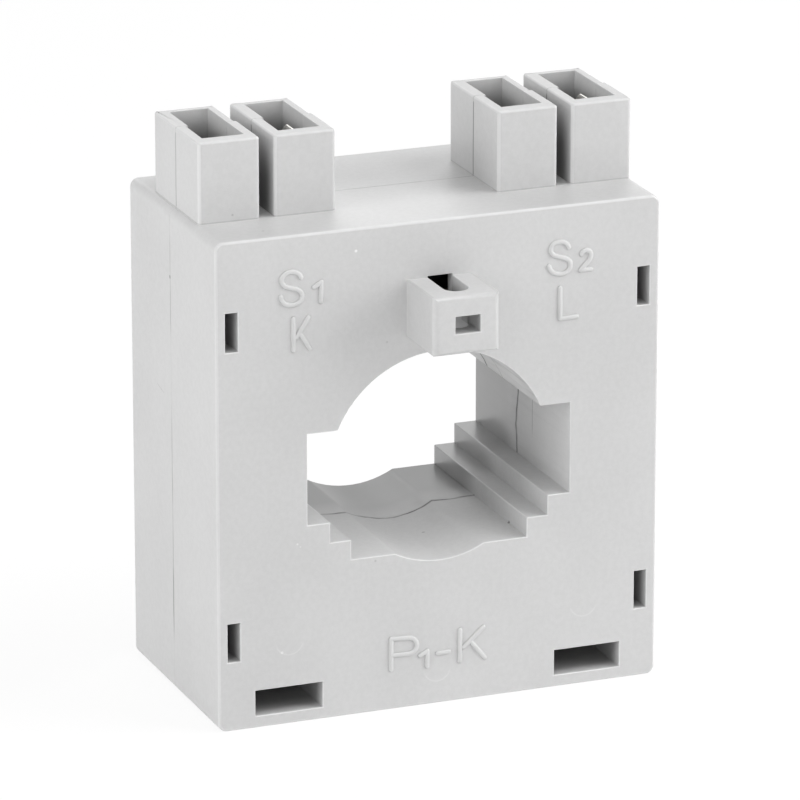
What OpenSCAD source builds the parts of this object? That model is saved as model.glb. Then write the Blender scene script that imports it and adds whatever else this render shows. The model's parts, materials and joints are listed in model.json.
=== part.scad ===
// Window-type current transformer: two moulded shells closed round a wound ring core.
// Origin at the centre of the base. +X is to the right, +Y to the back and +Z up.

/* [Case] */
// Width of the case
case_w = 75; // [72:0.5:90]
// Depth of the case, from front face to back face
case_d = 40; // [37:0.5:60]
// Height of the case without the terminal shrouds
case_h = 80.7; // [79:0.1:95]
// Radius of the case's corners, seen from the front
case_corner_r = 1.4; // [0.6:0.1:3]
// Thickness of the outer walls
case_wall = 1.8; // [1.4:0.1:2.2]
// Distance of the joint between the shells behind the middle of the depth
seam_offset = 0.9; // [-1:0.1:3]
// Length of the tongue that locates one shell in the other
tongue_l = 2; // [1:0.5:3]

/* [Window] */
// Height of the window's centre above the middle of the case
window_lift = 0; // [-0.6:0.05:0.6]
// Distance from the outside of the winding in to the side of the widest bar slot
window_margin = 12.35; // [12:0.05:16]
// Width of the step between the widest and the middle bar slot
step1_w = 3.8; // [2:0.05:5]
// Width of the step between the middle and the narrowest bar slot
step2_w = 3.55; // [2:0.05:5]
// Height of the step between the widest and the middle bar slot
step1_h = 3.35; // [2:0.05:4.5]
// Height of the step between the middle and the narrowest bar slot
step2_h = 3.25; // [2:0.05:4.5]
// Distance of the cable arch inside the widest bar slot
arch_inset = 3.55; // [3:0.05:6]
// Difference between the radii of the arch and of the hollow in the floor
hollow_inset = 2.75; // [1:0.05:3.5]
// Depth of the hollow below the floor of the narrowest slot
hollow_depth = 1.9; // [1.4:0.05:3]
// Thickness of the sleeve round the window
sleeve_wall = 1.4; // [1:0.1:1.6]
// Distance of the joint in the sleeve behind the middle of the depth
sleeve_seam_offset = 2; // [-1:0.1:3]

/* [Terminal shrouds] */
// Width of one shroud
shroud_w = 10.25; // [9.6:0.05:11]
// Length of a shroud, front to back
shroud_l = 20.3; // [17:0.1:24]
// Height of the shrouds above the case
shroud_h = 13.25; // [10:0.05:18]
// Gap between the two shrouds of a pair
shroud_gap = 2.4; // [1.5:0.05:4]
// Distance of the outer shrouds from the sides of the case
shroud_inset = 0.85; // [0.5:0.05:2]
// Distance that all the shrouds stand to the right of that place
shroud_shift = 0.3; // [-0.4:0.05:0.4]
// Distance of the shrouds' middle behind the middle of the case
shroud_offset = 0.65; // [-1:0.05:2]
// Thickness of a shroud's side walls
shroud_side_wall = 1.7; // [1.2:0.1:1.8]
// Thickness of a shroud's front wall
shroud_front_wall = 2.7; // [1.4:0.1:3]
// Thickness of a shroud's back wall
shroud_back_wall = 1.1; // [1:0.1:2]
// Distance that the rear shell's halves are out of line with the front shell's, in the side walls
shroud_step = 0.4; // [0:0.05:0.6]
// Radius of a shroud's upright edges at the front
shroud_edge_r = 0.65; // [0.3:0.05:1]
// Radius of a shroud's upright edges at the back
shroud_back_edge_r = 0.25; // [0.2:0.05:1]

/* [Terminals] */
// Width of a blade tab
tab_w = 6.3; // [4.8:0.1:7]
// Thickness of a blade tab
tab_t = 0.8; // [0.5:0.1:1]
// Distance of a tab's tip below the rim of its shroud
tab_below_rim = 2.1; // [1:0.1:5]
// Distance of a tab from the middle of its shroud, away from the other tab
tab_offset = 1.6; // [1:0.1:1.8]
// Diameter of the detent hole in a tab
tab_hole_d = 1.7; // [1:0.1:2]
// Distance of the detent hole below the tip
tab_hole_drop = 4.2; // [3:0.1:6]

/* [Latches] */
// Width of a latch slot in the front face
latch_slot_w = 2.1; // [1.9:0.1:2.6]
// Height of a latch slot
latch_slot_h = 6.4; // [5:0.1:9]
// Distance of a latch slot from the side of the case
latch_side_margin = 1.6; // [1.4:0.1:2.4]
// Distance of a latch slot from the base or from the top of the case
latch_end_margin = 11.55; // [10.5:0.05:12]
// Distance from the front face back to the ledge that a hook holds
latch_ledge_depth = 10; // [9:0.5:14]

/* [Foot sockets] */
// Width of a foot socket
foot_w = 11.35; // [9:0.05:12.5]
// Height of a foot socket
foot_h = 4.25; // [4.1:0.05:4.6]
// Height of a foot socket's floor above the base
foot_floor_z = 2; // [1.9:0.1:2.4]
// Distance of a foot socket from the side of the case
foot_side_margin = 6.2; // [4.8:0.05:8]
// Depth of a foot socket
foot_depth = 13.5; // [10:0.5:14]
// Thickness of the walls round a foot socket
foot_wall = 1.4; // [1:0.1:1.6]

/* [Clamp boss] */
// Width of the boss above the window
boss_w = 11.2; // [9:0.1:14]
// Height of the boss
boss_h = 9.5; // [8:0.1:11]
// Distance that the boss stands out of the front face
boss_l = 11.4; // [10.5:0.1:16]
// Height of the boss above the window's arch
boss_gap = 2.75; // [2:0.05:5]
// Radius of the boss's upright edges
boss_side_r = 1.05; // [0.5:0.05:1.5]
// Radius of the boss's level edges at its front
boss_r = 0.7; // [0.5:0.05:1.5]
// Radius of the boss's edges that run back to the case
boss_long_r = 0.35; // [0.2:0.05:1]
// Width of the upright screw hole, which is round at its front end
screw_hole_w = 4.1; // [4.1:0.1:5]
// Length of the screw hole from the front face of the case to its round end
screw_hole_l = 8.5; // [6:0.05:9]
// Width of the nut window in the front of the boss
nut_window_w = 4.2; // [3:0.1:5]
// Height of the nut window
nut_window_h = 2.8; // [2:0.1:4]
// Height of the nut window above the underside of the boss
nut_window_z = 3.4; // [2:0.1:4]
// Distance of the nut window to the right of the boss's middle
nut_window_shift = 0.2; // [-0.4:0.05:0.4]

/* [Core and winding] */
// Axial length of the ring core
core_l = 25; // [18:0.5:26]
// Wall of the two insulating cups round the core
cup_t = 0.4; // [0.3:0.05:0.6]
// Diameter of the secondary wire
wire_d = 1.2; // [0.8:0.05:1.3]
// Number of turns of the secondary winding
turns = 60; // [40:1:60]
// Angle at the top that the winding leaves free
winding_gap_deg = 24; // [20:1:30]
// Outside diameter of the insulating sleeves on the two leads
lead_sleeve_d = 2.2; // [1.9:0.1:2.4]
// Clearance between the winding and the case walls
winding_room = 1; // [0.6:0.1:1.4]
// Room above the winding for the leads and terminals
lead_room = 3.4; // [3.2:0.1:4]
// Clearance between pieces that sit in one another
piece_gap = 0.05; // [0.03:0.01:0.1]

/* [Hidden] */
$fn = 64;

case_grey = [0.83, 0.83, 0.83];
tin = [0.75, 0.75, 0.73];
copper = [0.72, 0.38, 0.2];
steel = [0.42, 0.43, 0.45];
cup_black = [0.05, 0.05, 0.055];
sleeve_black = [0.1, 0.1, 0.11];
solder_grey = [0.62, 0.62, 0.64];

cut = 1;                                  // how far a cutting shape runs past a face
weld = 0.3;                               // how far joined shapes run into each other
inner_corner_r = 0.6;                     // radius of the corners inside the case
shell_gap = 0.1;                          // side clearance of the tongue
tongue_t = (case_wall - shell_gap) / 2;

front_y = -case_d / 2;
back_y = case_d / 2;
seam_y = seam_offset;
sleeve_seam_y = sleeve_seam_offset;
front_inner_y = front_y + case_wall;
back_inner_y = back_y - case_wall;
roof_z = case_h - case_wall;              // inner face of the case's top wall
window_z = case_h / 2 + window_lift;

// The window lies inside the largest winding that the case takes
winding_ro = min(case_w / 2 - case_wall - winding_room,
                 window_z - case_wall - winding_room,
                 roof_z - window_z - lead_room);
bar1_w = 2 * (winding_ro - window_margin);
bar2_w = bar1_w - 2 * step1_w;
bar3_w = bar2_w - 2 * step2_w;
arch_r = bar1_w / 2 - arch_inset;
hollow_r = arch_r - hollow_inset;
bar3_drop = hollow_r - hollow_depth;      // from the window's centre down to the floor of each slot
bar2_drop = bar3_drop - step2_h;
bar1_drop = bar2_drop - step1_h;

// Ring core and winding, between the window's sleeve and the outer walls
wire_r = wire_d / 2;
sleeve_room = 0.4;
sleeve_corner_r = max(norm([bar1_w / 2 + sleeve_wall, bar1_drop + sleeve_wall]),
                      norm([bar2_w / 2 + sleeve_wall, bar2_drop + sleeve_wall]),
                      norm([bar3_w / 2 + sleeve_wall, bar3_drop + sleeve_wall]),
                      arch_r + sleeve_wall);
winding_ri = sleeve_corner_r + sleeve_room;
cover_t = wire_d + cup_t + 2 * piece_gap; // what lies over the core's faces
core_ri = winding_ri + cover_t;
core_ro = winding_ro - cover_t;
winding_y = core_l / 2 + cover_t;         // end face of the winding
cup_edge_r = 0.3;                         // rounding of the cups where the wire bends over them

// Shrouds and terminals, named by the sign of X
shroud_pitch = shroud_w + shroud_gap;
pair_x = case_w / 2 - shroud_inset - shroud_w - shroud_gap / 2;
shroud_front_y = shroud_offset - shroud_l / 2;
shroud_back_y = shroud_offset + shroud_l / 2;
rim_z = case_h + shroud_h;
function pair_place(side) = side * pair_x + shroud_shift;
tab_x = shroud_pitch / 2 + tab_offset;    // from the middle of a pair to each of its tabs
tab_y = seam_y;
tab_tip_z = rim_z - tab_below_rim;
tab_bend_r = 0.3;                         // inner radius of the terminal's bends
tab_slot_gap = 0.15;
strip_z = roof_z - tab_bend_r - tab_t;    // underside of the strip that joins two tabs
shelf_half_w = 3;                         // strip brackets: half width, side clearance, thickness, reach
shelf_gap = 0.2;
shelf_t = 1;
shelf_reach = 1.3;

// Ribs that hold the winding's end faces
rib_t = 1.4;
rib_end_gap = 0.5;

// Leads from the winding up to the strips
lead_y = tab_y;
lead_bend_r = 1.5;
lead_start_x = (winding_ro - wire_r) * sin(winding_gap_deg / 2);
lead_start_z = window_z + (winding_ro - wire_r) * cos(winding_gap_deg / 2);
lead_rise = 0.8;                          // height of a lead's first corner above the winding
lead_foot_run = 2.2;                      // level run of a lead before it slopes up
lead_clearance = 0.4;                     // between a sleeve and the winding
lead_under = 1.2;                         // from a strip's inner tab to the lead's corner below it
lead_end_inset = 1.5;                     // from the lead's end to the middle of the strip
lead_foot_x = lead_start_x + lead_bend_r + lead_foot_run;
lead_foot_z = window_z + sqrt(pow(winding_ro + lead_sleeve_d / 2 + lead_clearance, 2) - pow(lead_foot_x, 2));
lead_strip_x = pair_x - abs(shroud_shift) - tab_x + lead_under;
lead_end_x = pair_x - lead_end_inset;
lead_top_z = strip_z - wire_r - piece_gap;

// Latches
latch_outer_x = case_w / 2 - latch_side_margin;
latch_inner_x = latch_outer_x - latch_slot_w;
latch_low_z = latch_end_margin;
latch_high_z = case_h - latch_end_margin - latch_slot_h;
latch_wall = 1.4;                         // walls of the channel behind a latch slot
latch_channel_l = latch_ledge_depth + 4;
latch_side_gap = 0.1;                     // between an arm and the wall it slides along
latch_gap = 0.2;                          // between a hook and its ledge
latch_arm_t = latch_slot_w / 2 - latch_side_gap;
latch_hook_gap = 0.35;                    // between a hook and the channel's outer wall
latch_hook = latch_slot_w - latch_arm_t - latch_hook_gap;
latch_arm_h = latch_slot_h - 4 * latch_gap;
latch_hook_l = 3;                         // length of a hook, then of its square tip
latch_hook_tip = 0.6;
latch_ledge_l = 2.6;                      // length of a ledge, then of its level top
latch_ledge_top = 1;

foot_x = case_w / 2 - foot_side_margin - foot_w / 2;

boss_z = window_z + arch_r + boss_gap;    // underside of the boss

// Extrudes a shape drawn in X and Z from y0 back to y1
module along_y(y0, y1)
    rotate([90, 0, 0]) translate([0, 0, -y1]) linear_extrude(y1 - y0) children();

// Extrudes a shape drawn in Y and Z from x0 to x1
module along_x(x0, x1)
    rotate([90, 0, 90]) translate([0, 0, x0]) linear_extrude(x1 - x0) children();

module block(x0, x1, y0, y1, z0, z1)
    translate([x0, y0, z0]) cube([x1 - x0, y1 - y0, z1 - z0]);

module rounded_rect(w, h, r) {
    square([w - 2 * r, h], center = true);
    square([w, h - 2 * r], center = true);
    for (sx = [-1, 1], sy = [-1, 1])
        translate([sx * (w / 2 - r), sy * (h / 2 - r)]) circle(r = r);
}

module ring_2d(r_in, r_out)
    difference() {
        circle(r = r_out);
        circle(r = r_in);
    }

// Outline of the case, drawn in by inset
module case_2d(inset = 0)
    translate([0, case_h / 2])
        rounded_rect(case_w - 2 * inset, case_h - 2 * inset, max(case_corner_r - inset, inner_corner_r));

// Outline of the window, let out by grow: three stepped bar slots, a cable arch and a hollow
module window_2d(grow = 0)
    translate([0, window_z]) {
        for (bar = [[bar1_w, bar1_drop], [bar2_w, bar2_drop], [bar3_w, bar3_drop]])
            translate([-bar[0] / 2 - grow, -bar[1] - grow])
                square([bar[0] + 2 * grow, bar[1] + bar1_drop + 2 * grow]);
        intersection() {
            circle(r = arch_r + grow);
            translate([-arch_r - grow, 0]) square([2 * (arch_r + grow), arch_r + grow]);
        }
        intersection() {
            circle(r = hollow_r + grow);
            translate([-hollow_r - grow, -hollow_r - grow]) square([2 * (hollow_r + grow), hollow_r + grow]);
        }
    }

// Places its children at the middle of each of the four shrouds: [side, place in the pair]
module at_shrouds()
    for (side = [-1, 1], place = [-1, 1])
        translate([pair_place(side) + place * shroud_pitch / 2, 0, 0]) children();

// The part of a shroud between y0 and y1, with its floor left to the case's top wall.
// Its right wall is stepped in on the outside
module shroud_body(y0, y1, edge_r, step)
    intersection() {
        translate([-step / 2, shroud_offset, case_h - weld])
            linear_extrude(shroud_h + weld) rounded_rect(shroud_w - step, shroud_l, edge_r);
        block(-shroud_w, shroud_w, y0, y1, 0, rim_z + cut);
    }

// The bore of a shroud between y0 and y1, where the left wall is stepped in
module shroud_bore(y0, y1, step)
    intersection() {
        block(-shroud_w / 2 + shroud_side_wall + step, shroud_w / 2 - shroud_side_wall,
              shroud_front_y + shroud_front_wall, shroud_back_y - shroud_back_wall, case_h, rim_z + cut);
        block(-shroud_w, shroud_w, y0, y1, 0, rim_z + 2 * cut);
    }

// Slots in the case's top wall that the tabs stand up through
module tab_slots()
    for (side = [-1, 1], place = [-1, 1])
        translate([pair_place(side) + place * tab_x, tab_y, case_h - case_wall / 2])
            cube([tab_t + 2 * tab_slot_gap, tab_w + 2 * tab_slot_gap, case_wall + 2 * cut], center = true);

// Brackets under the top wall that carry the strips, on the side of the tabs given by toward
module strip_shelves(toward)
    for (side = [-1, 1])
        translate([pair_place(side), tab_y, 0]) mirror([0, toward < 0 ? 0 : 1, 0]) {
            shelf_y = -tab_w / 2 - shelf_gap;
            shelf_top_z = strip_z - piece_gap;
            block(-shelf_half_w, shelf_half_w, shelf_y - shelf_t, shelf_y,
                  shelf_top_z - shelf_t, roof_z + weld);
            block(-shelf_half_w, shelf_half_w, shelf_y - shelf_t, shelf_y + shelf_reach,
                  shelf_top_z - shelf_t, shelf_top_z);
        }

// Ribs that hold the winding's end face, between y0 and y1
module core_ribs(y0, y1)
    for (angle = [0 : 60 : 300])
        translate([0, 0, window_z]) rotate([0, angle, 0])
            block(winding_ri + rib_end_gap, winding_ro - rib_end_gap, y0, y1, -rib_t / 2, rib_t / 2);

module foot_sleeves(y0, y1)
    for (side = [-1, 1])
        block(side * foot_x - foot_w / 2 - foot_wall, side * foot_x + foot_w / 2 + foot_wall,
              y0, y1, case_wall - weld, foot_floor_z + foot_h + foot_wall);

module foot_bores(y0, y1)
    for (side = [-1, 1])
        block(side * foot_x - foot_w / 2, side * foot_x + foot_w / 2,
              y0, y1, foot_floor_z, foot_floor_z + foot_h);

// One latch channel of the front shell at the right side, its low edge at z
module latch_channel(z)
    block(latch_inner_x - latch_wall, latch_outer_x + weld, front_y + weld, front_y + latch_channel_l,
          z - latch_wall, z + latch_slot_h + latch_wall);

module latch_bore(z)
    block(latch_inner_x, latch_outer_x, front_y - cut, front_y + latch_channel_l + cut, z, z + latch_slot_h);

// The ledge in a channel: square towards the front, sloped where the hook slides over it
module latch_ledge(z)
    translate([latch_outer_x, front_y + latch_ledge_depth, z - weld])
        linear_extrude(latch_slot_h + 2 * weld)
            polygon([[weld, 0], [-latch_hook, 0], [-latch_hook, latch_ledge_top],
                     [0, latch_ledge_l], [weld, latch_ledge_l]]);

// A spring arm of the rear shell with its hook in front of the ledge
module latch_arm(z) {
    arm_x = latch_inner_x + latch_side_gap;
    arm_z = z + 2 * latch_gap;
    hook_y = front_y + latch_ledge_depth - latch_gap;
    block(arm_x, arm_x + latch_arm_t, hook_y - latch_hook_l, back_inner_y + weld, arm_z, arm_z + latch_arm_h);
    translate([arm_x + latch_arm_t, hook_y, arm_z])
        linear_extrude(latch_arm_h)
            polygon([[-weld, 0], [latch_hook, 0], [latch_hook, -latch_hook_tip],
                     [0, -latch_hook_l], [-weld, -latch_hook_l]]);
}

// Places its children at the right side and, mirrored, at the left side
module both_sides()
    for (side = [0, 1]) mirror([side, 0, 0]) children();

module clamp_boss()
    intersection() {
        along_y(front_y - boss_l, front_y + weld)
            translate([0, boss_z + boss_h / 2]) rounded_rect(boss_w, boss_h, boss_long_r);
        translate([0, front_y, boss_z])
            linear_extrude(boss_h) rounded_rect(boss_w, 2 * boss_l, boss_side_r);
        along_x(-boss_w, boss_w)
            translate([front_y, boss_z + boss_h / 2]) rounded_rect(2 * boss_l, boss_h, boss_r);
    }

// The screw hole and the nut window of the boss; behind it the front wall is open
module boss_holes() {
    hole_r = screw_hole_w / 2;
    opening_rise = 0.15;
    translate([0, front_y, boss_z - cut]) linear_extrude(boss_h + 2 * cut) {
        translate([-hole_r, -screw_hole_l + hole_r]) square([screw_hole_w, screw_hole_l - hole_r]);
        translate([0, -screw_hole_l + hole_r]) circle(r = hole_r);
    }
    nut_z = boss_z + nut_window_z;
    block(nut_window_shift - nut_window_w / 2, nut_window_shift + nut_window_w / 2,
          front_y - boss_l - cut, front_y - screw_hole_l + hole_r, nut_z, nut_z + nut_window_h);
    block(-hole_r, hole_r, front_y - hole_r, front_inner_y + cut, nut_z, boss_z + boss_h + opening_rise);
}

// A shell's outer walls, and its part of the sleeve round the window
module outer_walls(y0, y1)
    along_y(y0, y1) difference() {
        case_2d();
        case_2d(case_wall);
    }

module window_sleeve(y0, y1)
    along_y(y0, y1) difference() {
        window_2d(sleeve_wall);
        window_2d();
    }

module front_shell() color(case_grey)
    difference() {
        union() {
            outer_walls(front_y, seam_y);
            window_sleeve(front_y, sleeve_seam_y);
            along_y(front_y, front_inner_y) case_2d();
            along_y(seam_y - weld, seam_y + tongue_l) difference() {
                case_2d(case_wall - tongue_t);
                case_2d(case_wall);
            }
            at_shrouds() shroud_body(shroud_front_y - cut, seam_y, shroud_edge_r, 0);
            strip_shelves(-1);
            core_ribs(front_inner_y - weld, -winding_y - piece_gap);
            foot_sleeves(front_y + weld, front_y + foot_depth + foot_wall);
            both_sides() {
                latch_channel(latch_low_z);
                latch_channel(latch_high_z);
            }
            clamp_boss();
        }
        along_y(front_y - cut, sleeve_seam_y + cut) window_2d();
        at_shrouds() shroud_bore(front_y, seam_y + cut, 0);
        tab_slots();
        foot_bores(front_y - cut, front_y + foot_depth);
        both_sides() for (z = [latch_low_z, latch_high_z]) difference() {
            latch_bore(z);
            latch_ledge(z);
        }
        boss_holes();
    }

module rear_shell() color(case_grey)
    difference() {
        union() {
            outer_walls(seam_y, back_y);
            window_sleeve(sleeve_seam_y, back_y);
            along_y(back_inner_y, back_y) case_2d();
            at_shrouds() shroud_body(seam_y, shroud_back_y + cut, shroud_back_edge_r, shroud_step);
            strip_shelves(1);
            core_ribs(winding_y + piece_gap, back_inner_y + weld);
            foot_sleeves(back_y - foot_depth - foot_wall, back_y - weld);
            both_sides() {
                latch_arm(latch_low_z);
                latch_arm(latch_high_z);
            }
        }
        along_y(sleeve_seam_y - cut, back_y + cut) window_2d();
        along_y(seam_y - cut, seam_y + tongue_l + shell_gap) difference() {
            case_2d(case_wall - tongue_t - shell_gap);
            case_2d(case_wall + weld);
        }
        at_shrouds() shroud_bore(seam_y - cut, back_y, shroud_step);
        tab_slots();
        foot_bores(back_y - foot_depth, back_y + cut);
    }

module core() color(steel)
    along_y(-core_l / 2, core_l / 2) translate([0, window_z]) ring_2d(core_ri, core_ro);

// One insulating cup over half of the core; facing is -1 for the front one
module core_cup(facing) {
    inside_ri = core_ri - piece_gap;
    inside_ro = core_ro + piece_gap;
    inside_h = core_l / 2 + piece_gap;
    translate([0, 0, window_z]) rotate([-90 * facing, 0, 0]) rotate_extrude() difference() {
        translate([(inside_ri + inside_ro) / 2, 0])
            rounded_rect(inside_ro - inside_ri + 2 * cup_t, 2 * (inside_h + cup_t), cup_edge_r);
        translate([inside_ri, -core_l]) square([inside_ro - inside_ri, core_l + inside_h]);
        translate([0, -core_l]) square([2 * core_ro, core_l + piece_gap / 2]);
    }
}

module core_cup_front() color(cup_black) core_cup(-1);

module core_cup_rear() color(cup_black) core_cup(1);

// Sweeps a wire along path; ups holds a direction to keep the section from twisting
function unit(v) = v / norm(v);
function section_at(path, ups, i, r, sides) =
    let (t = unit(path[min(i + 1, len(path) - 1)] - path[max(i - 1, 0)]),
         n = unit(ups[i] - (ups[i] * t) * t),
         b = cross(t, n))
    [for (k = [0 : sides - 1]) path[i] + r * (cos(360 * k / sides) * n + sin(360 * k / sides) * b)];

module sweep_wire(path, ups, r, sides) {
    last = len(path) - 1;
    points = [for (i = [0 : last]) each section_at(path, ups, i, r, sides)];
    walls = [for (i = [0 : last - 1], k = [0 : sides - 1])
        let (a = i * sides + k, b = i * sides + (k + 1) % sides, c = b + sides, d = a + sides)
        each [[a, d, c], [a, c, b]]];
    start_cap = [for (k = [0 : sides - 1]) k];
    end_cap = [for (k = [sides - 1 : -1 : 0]) last * sides + k];
    polyhedron(points = points, faces = concat([start_cap], walls, [end_cap]));
}

// A turn is a rounded rectangle round the core's section, three points to a corner
wire_sides = 6;
turn_bend_r = wire_r + 0.2;
wire_ri = winding_ri + wire_r;
wire_ro = winding_ro - wire_r;
wire_y = winding_y - wire_r;
bend_ro = wire_ro - turn_bend_r;
bend_ri = wire_ri + turn_bend_r;
bend_y = wire_y - turn_bend_r;
turn_corners = [[bend_ro, bend_y], [bend_ri, bend_y], [bend_ri, -bend_y], [bend_ro, -bend_y]];
turn_steps = 12;
start_deg = 90 + winding_gap_deg / 2;
sweep_deg = 360 - winding_gap_deg;
function step_bearing(j) = 90 * floor(j / 3) + 45 * (j % 3);
function round_axis(deg, r, y) = [r * cos(deg), y, window_z + r * sin(deg)];
function turn_point(i) =
    let (j = i % turn_steps, corner = turn_corners[floor(j / 3)], a = step_bearing(j),
         deg = start_deg + sweep_deg * (i + 0.5) / (turns * turn_steps))
    round_axis(deg, corner[0] + turn_bend_r * cos(a), corner[1] + turn_bend_r * sin(a));
function turn_up(i) =
    let (a = step_bearing(i % turn_steps), deg = start_deg + sweep_deg * (i + 0.5) / (turns * turn_steps))
    [cos(a) * cos(deg), sin(a), cos(a) * sin(deg)];

// From the strip down to the winding, at the left side; the right side runs the other way
lead_down = [[-lead_end_x, lead_top_z], [-lead_strip_x, lead_top_z], [-lead_foot_x, lead_foot_z],
             [-lead_start_x - lead_bend_r, lead_start_z + lead_rise]];
function lead_in() = concat(
    [for (p = lead_down) [p[0], lead_y, p[1]]],
    [for (a = [45, 90]) [-lead_start_x - lead_bend_r + lead_bend_r * sin(a),
                         lead_y + lead_bend_r - lead_bend_r * cos(a),
                         lead_start_z + lead_rise * pow(cos(a), 2)]]);
function lead_out() = [for (i = [len(lead_down) + 1 : -1 : 0])
    let (p = lead_in()[i]) [-p[0], 2 * lead_y - p[1], p[2]]];

module secondary_winding() color(copper) {
    count = turns * turn_steps;
    path = concat(lead_in(), [for (i = [0 : count - 1]) turn_point(i)], lead_out());
    up = [0, 0, 1];
    ups = concat([for (p = lead_in()) up], [for (i = [0 : count - 1]) turn_up(i)], [for (p = lead_out()) up]);
    sweep_wire(path, ups, wire_r, wire_sides);
}

// A double tab: one strip bent up at both ends
module terminal(side) {
    outer_w = 2 * tab_x + tab_t;
    tall = tab_tip_z - strip_z;
    tip_cut = 0.25;
    tip_corner = 1.1;
    over = 0.01;
    translate([pair_place(side), tab_y, 0]) difference() {
        intersection() {
            along_y(-tab_w / 2, tab_w / 2) difference() {
                translate([0, strip_z + tall]) rounded_rect(outer_w, 2 * tall, tab_bend_r + tab_t);
                translate([0, strip_z + tab_t + tall])
                    rounded_rect(outer_w - 2 * tab_t, 2 * tall, tab_bend_r);
                translate([-outer_w, tab_tip_z]) square([2 * outer_w, 2 * tall]);
                for (place = [-1, 1], face = [-1, 1])
                    translate([place * tab_x + face * tab_t / 2, tab_tip_z])
                        polygon([[over * face, over], [-tip_cut * face, over], [over * face, -3 * tip_cut]]);
            }
            along_x(-outer_w, outer_w)
                polygon([[-tab_w / 2, strip_z - cut], [tab_w / 2, strip_z - cut],
                         [tab_w / 2, tab_tip_z - tip_corner], [tab_w / 2 - tip_corner, tab_tip_z + over],
                         [-tab_w / 2 + tip_corner, tab_tip_z + over], [-tab_w / 2, tab_tip_z - tip_corner]]);
        }
        translate([0, 0, tab_tip_z - tab_hole_drop]) rotate([0, 90, 0])
            cylinder(d = tab_hole_d, h = outer_w + 2 * cut, center = true);
    }
}

module terminal_s1() color(tin) terminal(-1);

module terminal_s2() color(tin) terminal(1);

// The sleeve on the sloping part of a lead
module lead_sleeve(side) {
    run = [lead_strip_x - lead_foot_x, lead_top_z - lead_foot_z];
    slope = atan2(run[1], run[0]);
    bare = norm(run) / 8;
    mirror([side < 0 ? 1 : 0, 0, 0])
        translate([lead_foot_x, lead_y, lead_foot_z]) rotate([0, 90 - slope, 0])
            translate([0, 0, bare])
                linear_extrude(norm(run) - 2 * bare) ring_2d(wire_r + piece_gap, lead_sleeve_d / 2);
}

module lead_sleeve_s1() color(sleeve_black) lead_sleeve(-1);

module lead_sleeve_s2() color(sleeve_black) lead_sleeve(1);

// The bead of solder that holds a lead under its strip
module solder(side) {
    bead_r = 2 * wire_r;
    bead_l = 2.6;
    bead_end = 0.4;
    bead_gap = 0.02;
    mirror([side < 0 ? 1 : 0, 0, 0])
        translate([lead_end_x - bead_end - bead_l, lead_y, lead_top_z]) rotate([90, 0, 90])
            linear_extrude(bead_l) difference() {
                circle(r = bead_r);
                circle(r = wire_r + bead_gap);
                translate([-bead_r - cut, strip_z - lead_top_z]) square([2 * (bead_r + cut), bead_r + cut]);
            }
}

module solder_s1() color(solder_grey) solder(-1);

module solder_s2() color(solder_grey) solder(1);

front_shell();
rear_shell();
core();
core_cup_front();
core_cup_rear();
secondary_winding();
terminal_s1();
terminal_s2();
lead_sleeve_s1();
lead_sleeve_s2();
solder_s1();
solder_s2();
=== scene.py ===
import json
import math

import bmesh
import bpy
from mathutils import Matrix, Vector


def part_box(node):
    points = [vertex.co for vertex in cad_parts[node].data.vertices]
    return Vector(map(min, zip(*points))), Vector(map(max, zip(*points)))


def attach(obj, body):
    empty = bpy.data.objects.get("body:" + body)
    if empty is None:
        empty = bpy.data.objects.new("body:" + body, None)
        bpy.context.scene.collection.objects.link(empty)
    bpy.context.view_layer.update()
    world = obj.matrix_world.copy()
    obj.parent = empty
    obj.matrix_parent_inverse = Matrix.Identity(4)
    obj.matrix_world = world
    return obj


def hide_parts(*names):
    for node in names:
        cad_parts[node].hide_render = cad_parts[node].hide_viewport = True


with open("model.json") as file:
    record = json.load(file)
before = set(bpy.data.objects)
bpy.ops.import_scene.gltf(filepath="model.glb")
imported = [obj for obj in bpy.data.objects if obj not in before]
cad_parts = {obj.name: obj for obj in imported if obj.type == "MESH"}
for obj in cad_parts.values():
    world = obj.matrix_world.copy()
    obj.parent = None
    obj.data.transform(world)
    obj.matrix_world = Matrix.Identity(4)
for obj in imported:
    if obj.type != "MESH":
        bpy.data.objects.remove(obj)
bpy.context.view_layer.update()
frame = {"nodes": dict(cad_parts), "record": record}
nodes = frame["nodes"]
mm = 0.001
print("frame loaded:", len(nodes), "nodes")


# Shader expressions: a Wire is one output socket, a Finish is one material
class Wire:
    def __init__(self, finish, socket):
        self.finish = finish
        self.socket = socket

    def maths(self, operation, first, second=None):
        values = {0: first} if second is None else {0: first, 1: second}
        return self.finish.node("ShaderNodeMath", {"operation": operation}, values)

    def __add__(self, other):
        return self.maths("ADD", self, other)

    def __radd__(self, other):
        return self.maths("ADD", other, self)

    def __sub__(self, other):
        return self.maths("SUBTRACT", self, other)

    def __rsub__(self, other):
        return self.maths("SUBTRACT", other, self)

    def __mul__(self, other):
        return self.maths("MULTIPLY", self, other)

    def __rmul__(self, other):
        return self.maths("MULTIPLY", other, self)

    def __truediv__(self, other):
        return self.maths("DIVIDE", self, other)

    def __abs__(self):
        return self.maths("ABSOLUTE", self)

    def highest(self, other):
        return self.maths("MAXIMUM", self, other)

    def root(self):
        return self.maths("SQRT", self)

    # 0 below low and 1 above high, with a soft step between. With low above high it falls
    def step(self, low, high):
        settings = {"interpolation_type": "SMOOTHSTEP", "clamp": True}
        values = {"Value": self, "From Min": low, "From Max": high, "To Min": 0.0, "To Max": 1.0}
        return self.finish.node("ShaderNodeMapRange", settings, values, "Result")

    # The same step for a pair in mm
    def over(self, span):
        return self.step(span[0] * mm, span[1] * mm)

    # 1 at the place, fading to 0 at reach on both sides
    def near(self, place, reach):
        return 1 - abs(self - place).step(0.0, reach)


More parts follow.
